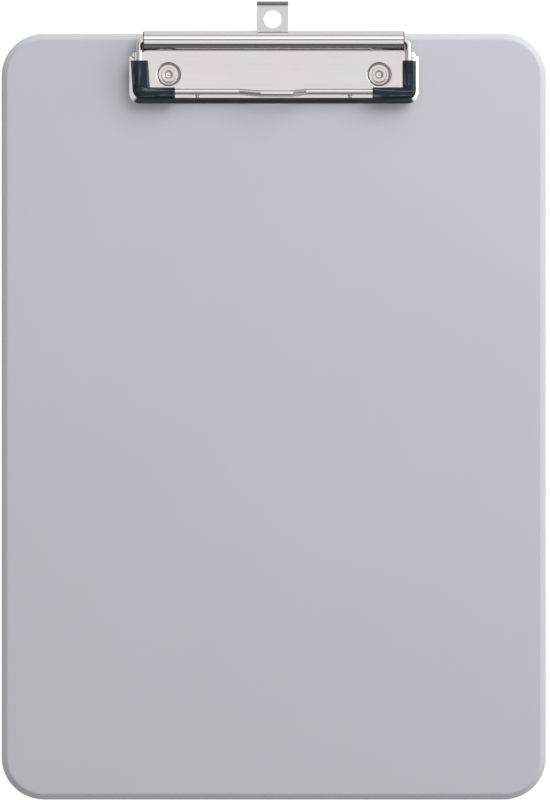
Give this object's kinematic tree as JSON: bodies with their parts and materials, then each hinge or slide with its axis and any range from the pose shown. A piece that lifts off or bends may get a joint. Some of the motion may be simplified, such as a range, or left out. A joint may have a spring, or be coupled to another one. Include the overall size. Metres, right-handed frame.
{
  "type": "clipboard",
  "caption": "A4 clipboard: plastic board, metal clip with a rolled spring barrel and a wire bail with corner sleeves, and a hanging tab that slides under the clip.",
  "frame": {"origin": "centre of the board's flat back face", "axes": "+X to the right, +Y towards the hanger end, +Z out of the writing side"},
  "size_m": [0.226, 0.3313, 0.0127],
  "materials": {
    "board_plastic": "satin light blue-grey",
    "plate_nickel": "bright nickel plate on sheet steel",
    "hanger_nickel": "bright nickel plate on sheet steel",
    "rivet_nickel": "bright nickel plate",
    "wire_nickel": "bright nickel plate on steel wire",
    "sleeve_pvc": "satin soft plastic, dark teal-black",
    "bush_plastic": "moulded, matte",
    "spring_steel": "drawn spring wire",
    "collar_brass": "turned and crimped"
  },
  "bodies": {
    "base": {"board": "board_plastic", "base_plate": "plate_nickel", "rivets": "rivet_nickel", "barrel_bush_left": "bush_plastic", "barrel_bush_right": "bush_plastic", "torsion_spring_left": "spring_steel", "torsion_spring_right": "spring_steel"},
    "bail": {"bail_wire": "wire_nickel", "corner_sleeve_left": "sleeve_pvc", "corner_sleeve_right": "sleeve_pvc", "spring_collar_left": "collar_brass", "spring_collar_right": "collar_brass"},
    "hanger": {"hanger": "hanger_nickel"}
  },
  "joints": [
    {"name": "bail_swing", "type": "hinge", "parent": "base", "child": "bail", "pos_m": [0, 0.15585, 0.00855], "axis": [-1, 0, 0], "range_deg": [0, 100], "stiffness_Nm_per_rad": 0.064, "springref_deg": -91.67, "deforming": ["torsion_spring_left", "torsion_spring_right"]},
    {"name": "hanger_slide", "type": "slide", "parent": "base", "child": "hanger", "axis": [0, -1, 0], "range_m": [0, 0.0118]}
  ]
}
